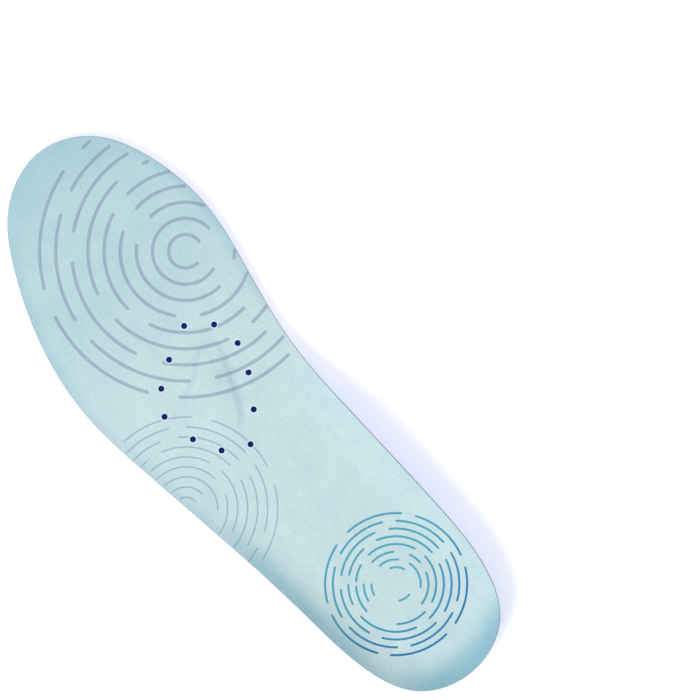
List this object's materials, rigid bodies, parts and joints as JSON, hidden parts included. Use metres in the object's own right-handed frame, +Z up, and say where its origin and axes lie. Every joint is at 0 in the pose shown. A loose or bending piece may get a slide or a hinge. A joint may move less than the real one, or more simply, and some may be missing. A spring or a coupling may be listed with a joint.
{
  "type": "cushioned insole",
  "caption": "Left gel insole with a printed textile cover, heel cup, arch shell, honeycomb heel pad and studded forefoot pad; bends at the ball of the foot.",
  "frame": {"origin": "bottom centre of the bounding box, on the plane of the sole", "axes": "+Y to the heel and -Y to the toe, +X to the outer side of the foot and -X to the arch side, +Z up through the textile cover"},
  "size_m": [0.0949, 0.2801, 0.0169],
  "materials": {
    "cover": "fine brushed knit with a printed ring pattern",
    "foam": "matte closed-cell foam",
    "gel": "glossy translucent gel",
    "shell": "satin moulded",
    "honeycomb": "satin",
    "button": "glossy translucent gel",
    "studs": "glossy"
  },
  "bodies": {
    "rearfoot": {"top_cover_rear": "cover", "foam_sheet_rear": "foam", "gel_base_rear": "gel", "arch_shell": "shell", "heel_honeycomb_pad": "honeycomb", "gel_button": "button"},
    "forefoot": {"top_cover_fore": "cover", "foam_sheet_fore": "foam", "gel_base_fore": "gel", "forefoot_pad": "studs"}
  },
  "joints": [
    {"name": "toe_flex", "type": "hinge", "parent": "rearfoot", "child": "forefoot", "pos_m": [-0.0074, -0.0458, 0.005], "axis": [-0.9516, -0.3074, 0], "range_deg": [0, 50], "stiffness_Nm_per_rad": 0.08}
  ]
}
